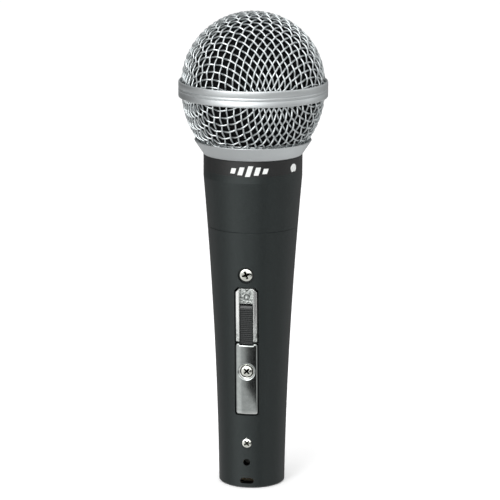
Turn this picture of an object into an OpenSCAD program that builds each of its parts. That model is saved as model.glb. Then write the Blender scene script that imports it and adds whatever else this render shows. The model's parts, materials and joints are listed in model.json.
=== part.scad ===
// Handheld dynamic vocal microphone with a slide switch, a lock plate and a screw-on wire grille.
// Millimetres, +Z up. The origin is the centre of the flat base ring that it stands on, and the
// controls face -Y.

/* [Handle] */
// Outer radius at the base
base_r = 11.4; // [11.2:0.1:11.8]
// Slope of the handle's side at the base
base_slope = 0.0153; // [0.01:0.0001:0.02]
// Outer radius of the straight part under the grille
neck_r = 16.95; // [16.8:0.05:17.2]
// Height where the taper ends
taper_top_z = 108.5; // [107:0.5:109]
// Height of the joint between the lower handle and the upper housing
joint_z = 91.2; // [90.6:0.1:91.8]
// Height of the upper housing's top face
housing_z = 116; // [115.8:0.1:116]
// Height where the smooth printed band starts
printed_z = 110.9; // [110:0.1:111.5]
// Radius of the thread that joins the two halves
joint_thread_r = 12.1; // [12:0.05:12.2]

/* [Connector] */
// Radius of the socket that the cable plug goes into
socket_r = 8.15; // [8.1:0.05:8.2]
// Depth of the socket, from the base to the insert's face
socket_depth = 14; // [13.6:0.1:14.2]
// Height of the insert's inner face
insert_top_z = 22; // [21.5:0.1:22.4]
// Radius of a contact pin
contact_r = 1.2; // [1.1:0.05:1.25]
// Radius of the circle that the contact pins stand on
contact_circle_r = 4.75; // [4.6:0.05:4.8]
// Height of the contact pins' tips
contact_tip_z = 1.8; // [1.4:0.1:2.4]
// Height of the latch slot's centre
latch_z = 2.56; // [2.4:0.02:2.8]
// Length of the latch slot
latch_w = 4.9; // [4.4:0.1:5.2]
// Height of the latch slot
latch_h = 2.05; // [1.8:0.05:2.2]
// Height of the small round hole over the latch slot
vent_z = 9.26; // [8.8:0.02:9.8]
// Radius of the small round hole
vent_r = 1.22; // [1:0.02:1.4]
// Height of the screw that holds the insert
connector_screw_z = 16.1; // [15.6:0.1:17]

/* [Switch] */
// Height of the middle of the switch
switch_z = 62; // [61.8:0.1:62.2]
// Width of the switch frame
frame_w = 7.5; // [7.4:0.1:7.6]
// Length of the switch frame
frame_l = 19; // [18.8:0.1:19.1]
// Width of the slot that the slider runs in
slot_w = 4.74; // [4.6:0.02:4.8]
// Depth of the textured floor below the frame's face
floor_depth = 1.5; // [1.4:0.05:1.6]
// Length of the slider
slider_l = 13.5; // [13.3:0.1:13.6]
// Gap on each side of the slider
slider_gap = 0.12; // [0.1:0.01:0.15]
// Number of ribs across the slider
slider_ribs = 18; // [14:1:19]
// Travel of the slider, from its rest at the lower end to the upper end
slider_travel = 6; // [5.5:0.1:6]
// Height of the screw above the frame
bracket_screw_z = 76.3; // [76:0.1:77]

/* [Lock plate] */
// Height of the plate's lower edge
plate_bottom_z = 26.6; // [26.4:0.1:27]
// Height of the plate's upper edge
plate_top_z = 51.9; // [51.7:0.1:51.9]
// Height of the plate's screw
plate_screw_z = 42; // [40:0.5:43]
// Radius of the plate's corners
plate_corner_r = 0.8; // [0.5:0.1:1]
// Gap round the plate and the frame
trim_gap = 0.4; // [0.3:0.05:0.4]
// Height of the plate and the frame over the handle's skin
trim_proud = 0.15; // [0.1:0.05:0.2]

/* [Grille] */
// Radius of the dome's outer face
dome_r = 24.45; // [24.2:0.05:24.5]
// Height of the dome's centre
dome_z = 140.3; // [140.2:0.1:140.4]
// Thickness of the woven wire, which is two wires
weave_t = 1.1; // [1:0.05:1.1]
// Radius of the basket's curved side, seen in section
basket_arc_r = 28; // [28:0.1:28.2]
// Radius of the band
band_r = 25.5; // [25.4:0.05:25.7]
// Height of the band's lower edge
band_bottom_z = 135.7; // [135.5:0.1:135.9]
// Height of the band's upper edge
band_top_z = 141.3; // [141.1:0.1:141.5]
// Outer radius of the collar's lip
collar_lip_r = 20.05; // [20:0.05:20.2]
// Height of the collar's lip
collar_top_z = 121; // [120.9:0.1:121.1]
// Radius of the neck thread that the collar screws onto
neck_thread_r = 14.5; // [14.4:0.05:14.5]
// Thickness of the foam windscreen
foam_t = 2.6; // [2.2:0.1:2.7]

/* [Capsule] */
// Outer radius of the capsule's case
capsule_r = 12.5; // [12.3:0.05:12.5]
// Height of the capsule's lower face, on the rubber mount
capsule_z = 122.5; // [122.4:0.1:122.6]
// Radius of the magnet
magnet_r = 6; // [5.8:0.1:6]
// Inner radius of the voice coil
coil_r = 6.75; // [6.7:0.01:6.8]

/* [Hidden] */
$fn = 96;

// The handle's side is a parabola from the base to the top of the taper
taper_curve = (neck_r - base_r - base_slope * taper_top_z) / pow(taper_top_z, 2);
skin_steps = 16;
edge = 0.4;
seam_edge = 0.15;
far = 60;

// Inside of the lower handle
cavity_bottom_r = 9.3;
cavity_bottom_z = 24;
cavity_top_z = 80;

// Inside of the upper housing
spigot_z = 84;
spigot_wall = 1.6;
spigot_gap = 0.1;
housing_bore_r = 12.6;
neck_top_z = 120.5;
printed_t = 0.23;

// Switch, in its own frame: X across, Y up along the handle's skin, Z out of it
frame_mid = 0.1;
frame_back = 2.95;
frame_corner = 1.2;
slider_low = -10.2;
slider_face = 0.32;
ledge_l = 0.8;
end_room = 0.3;
stem_low = -3.9;
stem_h = 1;
floor_top = slider_low + slider_l + slider_travel + 0.1;
stem_slot = [stem_low - 0.1, stem_low + stem_h + slider_travel + 0.3];
stem_slot_w = 2.4;
frame_window = [stem_slot[0], slider_low + slider_l + 0.6];
bracket_face = 3.02;
bracket_t = 1;
bracket_w = 6;
switch_depth = 4.4;
board_t = 1;
frame_top_z = switch_z + frame_mid + frame_l / 2;
frame_bottom_z = switch_z + frame_mid - frame_l / 2;

// Lock plate
plate_t = 0.9;
pocket_depth = 1.25;
plate_boss_r = 3;
plate_boss_depth = 1.8;
plate_notch_w = 5;
plate_notch_h = 0.5;

// Screws: head radius, head height, shank radius, shank length
connector_screw_size = [1.75, 1.2, 1, 6];
bracket_screw_size = [2.4, 1.1, 1.25, 4.1];
plate_screw_size = [2.2, 0.75, 1.2, 4];
bracket_sink_r = 2.875;
bracket_sink_depth = 1.2;
cross_w = 0.8;

// Grille
basket_arc_c = -3.6;
basket_arc_z = 137.5;
basket_bottom_z = 120.3;
basket_top_z = 137.6;
dome_bottom_z = 138.7;
rib_bottom_z = 137.8;
rib_top_z = 138.6;
rib_r = 23.4;
groove_w = 0.12;
groove_depth = 0.15;
thread_gap = 0.12;
collar_floor_z = 116.1;
foam_gap = 0.25;
foam_bottom_z = 121.4;

// Capsule
yoke_r = 9;
yoke_bore_r = 7.6;
yoke_z = 124.2;
yoke_top_z = 131.4;
chamber_r = 10.2;
chamber_z = 100;
cap_z = 135;

// Leads, diameter 1: each ring's centre, from one end to the other
lead_r = 0.5;
capsule_route = [
    [3, 0, 97.5], [3, 0, 95.5], [3, -0.2, 93], [2.9, -0.5, 90.5], [2.8, -0.8, 88],
    [2.7, -1, 85.5], [2.6, -1.2, 83], [2.4, -1.4, 80.5], [2.2, -1.8, 78], [2, -2.6, 76],
    [2, -4.6, 74.6]
];
switch_route = [
    [2, -3.5, 54.6], [2, -1.6, 54], [2, -0.2, 52.4], [2, 0.8, 50.3], [2.1, 1.6, 48],
    [2.2, 2.2, 45.6], [2.1, 2.6, 43.4], [2, 2.6, 41.4], [2, 1.9, 40], [2, 0.75, 40]
];
pin_2_route = [
    [-2, 0.75, 34], [-2, 2, 34], [-2.4, 2.7, 32.6], [-3.2, 2.4, 30.6], [-4.1, 1.4, 29],
    [-4.75, 0, 27.8], [-4.75, 0, 26.1]
];
pin_3_route = [
    [2, 0.75, 34], [2, 2, 34], [1.6, 3.4, 32.8], [1, 4.3, 31], [0.3, 4.75, 29.2],
    [0, 4.75, 27.6], [0, 4.75, 26.1]
];

function handle_r(z) =
    z > taper_top_z ? neck_r : base_r + base_slope * z + taper_curve * z * z;
function handle_tilt(z) = atan(base_slope + 2 * taper_curve * z);
function skin(z0, z1, out = 0) = [
    for (i = [0 : skin_steps])
        let (z = z0 + (z1 - z0) * i / skin_steps)
        [handle_r(z) + out, z]
];
function arc(c, cz, r, a0, a1, n = 16) = [
    for (i = [0 : n])
        let (a = a0 + (a1 - a0) * i / n)
        [c + r * cos(a), cz + r * sin(a)]
];
// Angle below the horizontal at which an arc of the basket reaches a height
function basket_angle(r, z) = asin((z - basket_arc_z) / r);
function unit(v) = v / norm(v);
function heading(path, i) = unit(path[min(i + 1, len(path) - 1)] - path[max(i - 1, 0)]);
function lead_ring(centre, d) =
    let (u = unit(cross(d, [1, 0, 0])), v = cross(d, u))
    [for (k = [0 : 7]) centre + lead_r * (cos(45 * k) * u + sin(45 * k) * v)];

module revolve(points) {
    rotate_extrude() polygon(points);
}

// Puts its children on the handle's front, X across, Y up along the skin and Z out of it
module on_front(z) {
    translate([0, -handle_r(z), z]) rotate([90 + handle_tilt(z), 0, 0]) children();
}

module on_switch() {
    on_front(switch_z) children();
}

module block(x, y, z) {
    translate([x[0], y[0], z[0]]) cube([x[1] - x[0], y[1] - y[0], z[1] - z[0]]);
}

module centred_block(w, y, z) {
    block([-w / 2, w / 2], y, z);
}

module cross_recess(r, top) {
    for (turn = [0, 90])
        rotate(turn) centred_block(cross_w, [-r * 0.6, r * 0.6], [top - r * 0.35, top + 1]);
}

// A screw whose seat is at Z = 0 of the place it is put in
module screw(size, dome = 0.25) {
    difference() {
        union() {
            cylinder(r = size[0], h = size[1] - dome);
            translate([0, 0, size[1] - dome]) cylinder(r1 = size[0], r2 = size[0] * 0.72, h = dome);
            translate([0, 0, -size[3]]) cylinder(r = size[2], h = size[3] + 0.01);
        }
        cross_recess(size[0], size[1]);
    }
}

module lead(path) {
    last = len(path) - 1;
    points = [for (i = [0 : last]) each lead_ring(path[i], heading(path, i))];
    sides = [
        for (i = [0 : last - 1], k = [0 : 7])
            let (a = 8 * i + k, b = 8 * i + (k + 1) % 8)
            each [[a, b, b + 8], [a, b + 8, a + 8]]
    ];
    ends = [[for (k = [7 : -1 : 0]) k], [for (k = [0 : 7]) 8 * last + k]];
    polyhedron(points, concat(sides, ends));
}

// The frame's outline: square at the bottom, cut corners at the top
module frame_outline(grow = 0) {
    w = frame_w / 2 + grow;
    low = frame_mid - frame_l / 2 - grow;
    high = frame_mid + frame_l / 2 + grow;
    polygon([
        [-w, low], [w, low], [w, high - frame_corner],
        [w - frame_corner, high], [-w + frame_corner, high], [-w, high - frame_corner]
    ]);
}

// A rectangle with round corners, centred across, from y0 to y1
module rounded_outline(w, y0, y1, r) {
    for (x = [-w / 2 + r, w / 2 - r], y = [y0 + r, y1 - r]) translate([x, y]) circle(r);
    translate([-w / 2, y0 + r]) square([w, y1 - y0 - 2 * r]);
    translate([-w / 2 + r, y0]) square([w - 2 * r, y1 - y0]);
}

// Everything within a distance of the handle's skin, between two heights
module skin_solid(z0, z1, out) {
    revolve(concat([[0, z0]], skin(z0, z1, out), [[0, z1]]));
}

module skin_shell(z0, z1, inner, outer) {
    difference() {
        skin_solid(z0, z1, outer);
        skin_solid(z0 - 1, z1 + 1, inner);
    }
}

module front_slab(z0, z1) {
    translate([0, -5, 0]) rotate([90, 0, 0]) linear_extrude(far) children();
}

module plate_outline(grow = 0) {
    rounded_outline(frame_w + 2 * grow, plate_bottom_z - grow, plate_top_z + grow, plate_corner_r);
}

module plate_pocket() {
    intersection() {
        skin_shell(plate_bottom_z - 2, plate_top_z + 3, -pocket_depth, 3);
        front_slab() plate_outline(trim_gap);
    }
    on_front(plate_screw_z)
        translate([0, 0, -plate_boss_depth - 0.1]) cylinder(r = plate_boss_r + 0.15, h = 3);
}

module screw_hole(z, size, sink_r, sink_depth) {
    on_front(z) {
        translate([0, 0, -8]) cylinder(r = size[2] + 0.05, h = 10);
        translate([0, 0, -sink_depth]) cylinder(r = sink_r, h = 3);
    }
}

module latch_slot() {
    reach = (latch_w - latch_h) / 2;
    translate([0, -socket_r + 1.5, latch_z]) rotate([90, 0, 0]) {
        for (x = [-reach, reach]) translate([x, 0, 0]) cylinder(r = latch_h / 2, h = 8);
        centred_block(2 * reach, [-latch_h / 2, latch_h / 2], [0, 8]);
    }
}

module handle() {
    outside = concat([[base_r - edge, 0]], skin(edge, joint_z - seam_edge));
    inside = [
        [handle_r(joint_z) - seam_edge, joint_z], [joint_thread_r, joint_z],
        [joint_thread_r, cavity_top_z], [cavity_bottom_r, cavity_bottom_z],
        [socket_r, insert_top_z], [socket_r, 0.5], [socket_r + 0.5, 0]
    ];
    color([0.17, 0.19, 0.18])
        difference() {
            revolve(concat(outside, inside));
            plate_pocket();
            on_switch() {
                translate([0, 0, -5]) linear_extrude(8) frame_outline(trim_gap);
                // Room for the slider's lower end
                centred_block(
                    slot_w, [slider_low - end_room, frame_mid - frame_l / 2],
                    [-floor_depth - 0.15, 3]
                );
            }
            screw_hole(bracket_screw_z, bracket_screw_size, bracket_sink_r, bracket_sink_depth);
            screw_hole(plate_screw_z, plate_screw_size, 1.5, 0.5);
            screw_hole(
                connector_screw_z, connector_screw_size,
                connector_screw_size[0] + 0.03, connector_screw_size[1]
            );
            on_front(vent_z) translate([0, 0, -6]) cylinder(r = vent_r, h = 8);
            latch_slot();
        }
}

module upper_housing() {
    spigot_r = joint_thread_r - spigot_gap;
    color([0.17, 0.19, 0.18])
        revolve(concat(
            [
                [spigot_r - spigot_wall, spigot_z], [spigot_r, spigot_z], [spigot_r, joint_z],
                [handle_r(joint_z) - seam_edge, joint_z]
            ],
            skin(joint_z + seam_edge, taper_top_z),
            [
                [neck_r, printed_z], [neck_r - printed_t, printed_z],
                [neck_r - printed_t, housing_z], [neck_thread_r, housing_z],
                [neck_thread_r, neck_top_z], [housing_bore_r, neck_top_z],
                [housing_bore_r, joint_z + 3], [spigot_r - spigot_wall, joint_z + 1]
            ]
        ));
}

module printed_band() {
    inner = neck_r - printed_t + 0.02;
    color([0.07, 0.07, 0.07])
        revolve([
            [inner, printed_z + 0.02], [neck_r, printed_z + 0.02], [neck_r, housing_z - 0.1],
            [neck_r - 0.1, housing_z], [inner, housing_z]
        ]);
}

module connector_insert() {
    r = socket_r - 0.05;
    color([0.06, 0.06, 0.06])
        difference() {
            union() {
                translate([0, 0, socket_depth]) cylinder(r = r, h = insert_top_z - socket_depth);
                intersection() {
                    translate([0, 0, 3]) cylinder(r = r, h = socket_depth - 2.9);
                    centred_block(2.4, [7.1, 9], [2, socket_depth]);
                }
            }
            for (i = [1 : 3])
                translate([each contact_place(i), socket_depth - 1]) cylinder(r = 1.52, h = 12);
            on_front(connector_screw_z)
                translate([0, 0, -8]) cylinder(r = connector_screw_size[2] + 0.05, h = 8);
        }
}

// Pins 1 and 2 are to the sides, and pin 3 is at the back
function contact_place(i) =
    contact_circle_r * (i == 1 ? [1, 0] : i == 2 ? [-1, 0] : [0, 1]);

module contact_pin(i) {
    color([0.85, 0.75, 0.5])
        translate(concat(contact_place(i), [0]))
            revolve([
                [0, contact_tip_z], [contact_r - 0.5, contact_tip_z],
                [contact_r, contact_tip_z + 0.6], [contact_r, socket_depth],
                [1.5, socket_depth], [1.5, insert_top_z], [1.1, insert_top_z],
                [1.1, insert_top_z + 4], [0, insert_top_z + 4]
            ]);
}

module ground_tag() {
    z = insert_top_z + 0.02;
    color([0.8, 0.7, 0.45])
        difference() {
            union() {
                translate([contact_circle_r, 0, z]) cylinder(r = 2, h = 0.4);
                block([contact_circle_r - 0.8, contact_circle_r + 0.8], [0, 5], [z, z + 0.4]);
            }
            translate([contact_circle_r, 0, z - 1]) cylinder(r = 1.15, h = 3);
        }
}

module connector_screw() {
    color([0.75, 0.73, 0.7])
        on_front(connector_screw_z)
            translate([0, 0, -connector_screw_size[1]]) screw(connector_screw_size, 0.1);
}

module bracket_screw() {
    color([0.78, 0.76, 0.73])
        on_front(bracket_screw_z)
            translate([0, 0, -bracket_sink_depth]) screw(bracket_screw_size, 0.4);
}

module switch_frame() {
    color([0.78, 0.79, 0.8])
        difference() {
            intersection() {
                skin_solid(frame_bottom_z - 3, frame_top_z + 3, trim_proud);
                on_switch() translate([0, 0, -frame_back]) linear_extrude(6) frame_outline();
            }
            on_switch() {
                centred_block(slot_w, [-12, floor_top], [-floor_depth, 3]);
                centred_block(slot_w, frame_window, [-6, 3]);
                // V notch in the top edge
                translate([0, frame_mid + frame_l / 2 + 0.3, -0.6])
                    rotate(45) translate([-0.6, -0.6, 0]) cube([1.2, 1.2, 3]);
                // Ring mark pressed into the floor
                translate([0, 6.4, -floor_depth - 0.12])
                    difference() {
                        cylinder(r = 0.95, h = 1);
                        translate([0, 0, -1]) cylinder(r = 0.6, h = 3);
                    }
            }
        }
}

module switch_slider() {
    w = slot_w - 2 * slider_gap;
    pitch = (slider_l - ledge_l - 0.4) / slider_ribs;
    color([0.12, 0.13, 0.13])
        on_switch()
            difference() {
                translate([0, slider_low, 0])
                    centred_block(w, [0, slider_l], [-floor_depth + 0.05, -slider_face]);
                for (i = [0 : slider_ribs - 1])
                    translate([0, slider_low + 0.2 + pitch * (i + 0.5), -slider_face])
                        rotate([45, 0, 0]) centred_block(w + 1, [-0.17, 0.17], [-0.17, 0.17]);
                // Sloping ledge at the upper end
                translate([0, slider_low + slider_l - ledge_l, -slider_face])
                    rotate([-30, 0, 0]) centred_block(w + 1, [0, 2], [0, 2]);
            }
}

module switch_actuator() {
    color([0.85, 0.85, 0.82])
        on_switch()
            centred_block(2, [stem_low, stem_low + stem_h], [-6.5, -floor_depth + 0.03]);
}

module switch_body() {
    back = bracket_face + bracket_t + switch_depth;
    color([0.1, 0.1, 0.11])
        on_switch()
            difference() {
                centred_block(6.2, [-9, 9], [-back, -bracket_face - bracket_t - 0.02]);
                centred_block(stem_slot_w, stem_slot, [-6.9, 0]);
            }
}

module switch_board() {
    top = -bracket_face - bracket_t - switch_depth - 0.05;
    color([0.1, 0.35, 0.2])
        on_switch()
            difference() {
                centred_block(7, [-10, 13.5], [top - board_t, top]);
                for (y = [-5, 0, 5]) translate([0, y, top - 2]) cylinder(r = 0.5, h = 3);
            }
}

module switch_terminals() {
    top = -bracket_face - bracket_t - switch_depth - 0.02;
    color([0.8, 0.78, 0.7])
        on_switch()
            for (y = [-5, 0, 5]) translate([0, y, top - 1.8]) cylinder(r = 0.42, h = 1.8);
}

module switch_bracket() {
    color([0.6, 0.62, 0.63])
        difference() {
            on_switch()
                difference() {
                    centred_block(
                        bracket_w, [-31.5, 17.5], [-bracket_face - bracket_t, -bracket_face]
                    );
                    centred_block(stem_slot_w, stem_slot, [-6, 0]);
                }
            on_front(bracket_screw_z)
                translate([0, 0, -8]) cylinder(r = bracket_screw_size[2] + 0.05, h = 8);
            on_front(plate_screw_z)
                translate([0, 0, -8]) cylinder(r = plate_screw_size[2] + 0.05, h = 8);
        }
}

module lock_plate() {
    color([0.8, 0.81, 0.82])
        difference() {
            union() {
                intersection() {
                    skin_shell(plate_bottom_z - 1, plate_top_z + 1, trim_proud - plate_t, trim_proud);
                    front_slab() plate_outline();
                }
                on_front(plate_screw_z)
                    translate([0, 0, -plate_boss_depth])
                        cylinder(r = plate_boss_r, h = plate_boss_depth - 0.2);
            }
            centred_block(
                plate_notch_w, [-20, -5], [plate_top_z - plate_notch_h, plate_top_z + 1]
            );
            on_front(plate_screw_z) {
                translate([0, 0, -plate_boss_depth - 1])
                    cylinder(r = plate_screw_size[2] + 0.05, h = 5);
                translate([0, 0, -0.95]) cylinder(r = plate_screw_size[0] + 0.03, h = 3);
                translate([0, 0, -0.7])
                    cylinder(r1 = plate_screw_size[0] + 0.03, r2 = plate_boss_r, h = 0.85);
                translate([0, 0, 0.14]) cylinder(r = plate_boss_r, h = 1);
            }
        }
}

module lock_plate_screw() {
    color([0.8, 0.78, 0.74])
        on_front(plate_screw_z)
            translate([0, 0, -0.95]) screw(plate_screw_size);
}

module transformer_core() {
    color([0.35, 0.36, 0.38])
        difference() {
            centred_block(9, [-6.6, -0.6], [31, 43]);
            for (x = [-3.4, 1.4]) block([x, x + 2], [-7, 0], [33.2, 40.8]);
        }
}

module transformer_coil() {
    color([0.6, 0.32, 0.16])
        difference() {
            centred_block(6.6, [-7.9, 0.7], [33.3, 40.7]);
            centred_block(2.9, [-6.7, -0.5], [33, 41]);
        }
}

module shock_mount() {
    color([0.09, 0.09, 0.1])
        revolve([
            [chamber_r + 0.1, 113], [housing_bore_r - 0.05, 113],
            [housing_bore_r - 0.05, neck_top_z], [13.8, neck_top_z], [13.8, capsule_z],
            [chamber_r + 0.1, capsule_z]
        ]);
}

module capsule_housing() {
    inner = capsule_r - 0.95;
    color([0.2, 0.2, 0.21])
        revolve([
            [chamber_r + 0.05, capsule_z], [capsule_r, capsule_z], [capsule_r, cap_z],
            [inner, cap_z], [inner, capsule_z + 1.2], [chamber_r + 0.05, capsule_z + 1.2]
        ]);
}

module rear_chamber() {
    color([0.25, 0.25, 0.26])
        revolve([
            [0, chamber_z], [chamber_r, chamber_z], [chamber_r, yoke_z - 0.1],
            [chamber_r - 0.8, yoke_z - 0.1], [chamber_r - 0.8, chamber_z + 1],
            [0, chamber_z + 1]
        ]);
}

module yoke_cup() {
    color([0.55, 0.56, 0.58])
        revolve([
            [0, yoke_z], [yoke_r, yoke_z], [yoke_r, yoke_top_z - 1],
            [capsule_r - 1, yoke_top_z - 1], [capsule_r - 1, yoke_top_z],
            [yoke_bore_r, yoke_top_z], [yoke_bore_r, yoke_z + 1.4], [0, yoke_z + 1.4]
        ]);
}

module magnet() {
    color([0.42, 0.43, 0.45]) translate([0, 0, yoke_z + 1.4]) cylinder(r = magnet_r, h = 4);
}

module pole_piece() {
    color([0.6, 0.61, 0.63])
        translate([0, 0, yoke_z + 5.4])
            cylinder(r = magnet_r + 0.4, h = yoke_top_z - yoke_z - 5.4);
}

module voice_coil() {
    color([0.72, 0.4, 0.2])
        revolve([
            [coil_r, 129.2], [coil_r + 0.5, 129.2], [coil_r + 0.5, 133.3], [coil_r, 133.3]
        ]);
}

module diaphragm() {
    color([0.85, 0.83, 0.7])
        revolve([
            [0, 134.6], [3.5, 134.3], [7, 133.55], [8.8, 134], [10.6, 133.55], [10.6, 133.3],
            [8.8, 133.75], [7, 133.3], [3.5, 134.05], [0, 134.35]
        ]);
}

module diaphragm_ring() {
    color([0.3, 0.3, 0.32])
        revolve([
            [10.8, yoke_top_z], [capsule_r - 1, yoke_top_z], [capsule_r - 1, 134.2], [10.8, 134.2]
        ]);
}

module acoustic_felt() {
    color([0.3, 0.3, 0.3]) translate([0, 0, cap_z + 0.3]) cylinder(r = capsule_r - 1.1, h = 1);
}

module resonator_cap() {
    color([0.14, 0.14, 0.15])
        difference() {
            revolve([
                [0, cap_z + 1.4], [capsule_r - 1, cap_z + 1.4], [capsule_r - 1, cap_z],
                [capsule_r, cap_z], [capsule_r, cap_z + 2.2], [capsule_r - 0.4, cap_z + 2.6],
                [0, cap_z + 2.6]
            ]);
            translate([0, 0, cap_z]) cylinder(r = 1.8, h = 4);
            for (i = [0 : 7])
                rotate(45 * i) translate([7.5, 0, cap_z]) cylinder(r = 1.3, h = 4);
        }
}

module terminal_disc() {
    color([0.5, 0.38, 0.2])
        difference() {
            translate([0, 0, 98.6]) cylinder(r = 9, h = chamber_z - 98.6);
            for (x = [-3, 3]) translate([x, 0, 98]) cylinder(r = 0.85, h = 3);
        }
}

module capsule_terminals() {
    color([0.85, 0.78, 0.55])
        for (x = [-3, 3]) translate([x, 0, 97.6]) cylinder(r = 0.8, h = chamber_z - 97.6);
}

module grille_dome() {
    inner = dome_r - weave_t;
    color([0.72, 0.73, 0.74])
        revolve(concat(
            [[dome_r, dome_bottom_z]], arc(0, dome_z, dome_r, 0, 90, 20),
            arc(0, dome_z, inner, 90, 0, 20), [[inner, dome_bottom_z]]
        ));
}

module grille_basket() {
    inner = basket_arc_r - weave_t;
    color([0.72, 0.73, 0.74])
        revolve(concat(
            arc(
                basket_arc_c, basket_arc_z, basket_arc_r,
                basket_angle(basket_arc_r, basket_bottom_z), basket_angle(basket_arc_r, basket_top_z)
            ),
            arc(
                basket_arc_c, basket_arc_z, inner,
                basket_angle(inner, basket_top_z), basket_angle(inner, basket_bottom_z)
            )
        ));
}

// A V-shaped line turned into the band at a height, seen in section
function groove(z) =
    [[band_r, z - groove_w], [band_r - groove_depth, z], [band_r, z + groove_w]];

module grille_band() {
    inner = dome_r + 0.1;
    round_r = 0.45;
    lip = 0.3;
    color([0.7, 0.7, 0.7])
        revolve(concat(
            [[inner, band_bottom_z]],
            arc(band_r - round_r, band_bottom_z + round_r, round_r, -90, 0, 5),
            groove(rib_bottom_z + 0.1), groove(139),
            arc(band_r - round_r, band_top_z - round_r, round_r, 0, 90, 5),
            [
                [inner + lip, band_top_z - 0.2], [inner + lip, band_top_z - 1], [inner, 139.6],
                [inner, rib_top_z], [rib_r, rib_top_z], [rib_r, rib_bottom_z],
                [inner, rib_bottom_z]
            ]
        ));
}

module grille_collar() {
    bore = neck_thread_r + thread_gap;
    color([0.7, 0.7, 0.7])
        revolve([
            [bore + 0.3, collar_floor_z], [neck_r - 0.1, collar_floor_z],
            [neck_r + 0.1, collar_floor_z + 0.2], [collar_lip_r - 0.1, collar_top_z - 0.4],
            [collar_lip_r, collar_top_z - 0.15], [collar_lip_r - 0.15, collar_top_z],
            [collar_lip_r - 0.5, collar_top_z], [collar_lip_r - 0.6, basket_bottom_z],
            [17.2, basket_bottom_z], [17.2, basket_bottom_z + 0.9], [16.6, basket_bottom_z + 0.9],
            [16.6, 119.6], [bore, 119.6], [bore, collar_floor_z + 0.3]
        ]);
}

module windscreen() {
    out = dome_r - weave_t - foam_gap;
    side = basket_arc_r - weave_t - 0.3;
    in = side - foam_t;
    top = 0.1;
    color([0.08, 0.08, 0.09])
        revolve(concat(
            arc(
                basket_arc_c, basket_arc_z, side,
                basket_angle(side, foam_bottom_z), 0
            ),
            arc(0, dome_z, out, top, 90, 20),
            arc(0, dome_z, out - foam_t, 90, top, 20),
            arc(
                basket_arc_c, basket_arc_z, in,
                0, basket_angle(in, foam_bottom_z)
            )
        ));
}

module capsule_lead_left() {
    color([0.75, 0.15, 0.12]) mirror([1, 0, 0]) lead(capsule_route);
}

module capsule_lead_right() {
    color([0.12, 0.12, 0.12]) lead(capsule_route);
}

module switch_lead_left() {
    color([0.75, 0.15, 0.12]) mirror([1, 0, 0]) lead(switch_route);
}

module switch_lead_right() {
    color([0.12, 0.12, 0.12]) lead(switch_route);
}

module pin_lead_2() {
    color([0.9, 0.8, 0.2]) lead(pin_2_route);
}

module pin_lead_3() {
    color([0.15, 0.35, 0.7]) lead(pin_3_route);
}

handle();
upper_housing();
printed_band();
connector_insert();
for (i = [1 : 3]) contact_pin(i);
ground_tag();
connector_screw();
bracket_screw();
switch_frame();
switch_slider();
switch_actuator();
switch_body();
switch_board();
switch_terminals();
switch_bracket();
lock_plate();
lock_plate_screw();
transformer_core();
transformer_coil();
shock_mount();
capsule_housing();
rear_chamber();
yoke_cup();
magnet();
pole_piece();
voice_coil();
diaphragm();
diaphragm_ring();
acoustic_felt();
resonator_cap();
terminal_disc();
capsule_terminals();
grille_dome();
grille_basket();
grille_band();
grille_collar();
windscreen();
capsule_lead_left();
capsule_lead_right();
switch_lead_left();
switch_lead_right();
pin_lead_2();
pin_lead_3();
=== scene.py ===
"""Dynamic vocal microphone: the looks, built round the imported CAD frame. Units are metres."""

import json
import math
import random

import bpy
import numpy as np
from mathutils import Matrix, Vector, noise


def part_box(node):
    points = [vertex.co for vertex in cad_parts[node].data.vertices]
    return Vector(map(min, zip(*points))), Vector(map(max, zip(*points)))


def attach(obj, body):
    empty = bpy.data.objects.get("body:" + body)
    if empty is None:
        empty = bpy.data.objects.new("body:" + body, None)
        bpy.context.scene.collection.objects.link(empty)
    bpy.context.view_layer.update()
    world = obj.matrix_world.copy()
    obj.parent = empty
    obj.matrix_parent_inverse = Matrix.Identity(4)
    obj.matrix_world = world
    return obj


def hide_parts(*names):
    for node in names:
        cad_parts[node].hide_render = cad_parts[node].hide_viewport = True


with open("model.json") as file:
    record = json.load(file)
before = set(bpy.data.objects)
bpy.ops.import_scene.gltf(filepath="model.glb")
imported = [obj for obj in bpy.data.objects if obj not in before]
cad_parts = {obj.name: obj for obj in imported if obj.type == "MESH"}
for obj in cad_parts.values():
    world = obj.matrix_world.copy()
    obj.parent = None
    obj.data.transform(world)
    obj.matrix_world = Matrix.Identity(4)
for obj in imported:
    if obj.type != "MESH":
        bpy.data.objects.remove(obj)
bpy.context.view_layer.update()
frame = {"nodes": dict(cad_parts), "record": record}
RNG = random.Random(4)
MM = 0.001
SCENE = bpy.context.scene


# ---------------------------------------------------------------- sizes from the frame

def top(node):
    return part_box(node)[1].z


def bottom(node):
    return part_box(node)[0].z


def radius(node):
    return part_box(node)[1].x


# Grille: its woven wire, and the arc that is the basket's section
WEAVE_T = 1.1 * MM
WIRE_R = 0.3 * MM
WIRE_WAVE = 0.31 * MM
PITCH = 2.58 * MM
BAND_TOP = top("grille_band")
BAND_LOW = bottom("grille_band")
DOME_R = radius("grille_dome")
DOME_Z = top("grille_dome") - DOME_R
ARC_R = 28 * MM
ARC_C = -3.6 * MM
ARC_Z = 137.5 * MM
BASKET_LOW = bottom("grille_basket")
NECK_R = radius("printed_band")

# Handle: its side is a parabola from the base to the top of the taper
BASE_R = 11.4 * MM
BASE_SLOPE = 0.0153
TAPER_TOP = 108.5 * MM
TAPER_CURVE = (NECK_R - BASE_R - BASE_SLOPE * TAPER_TOP) / TAPER_TOP**2
TRIM_PROUD = 0.15 * MM

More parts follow.
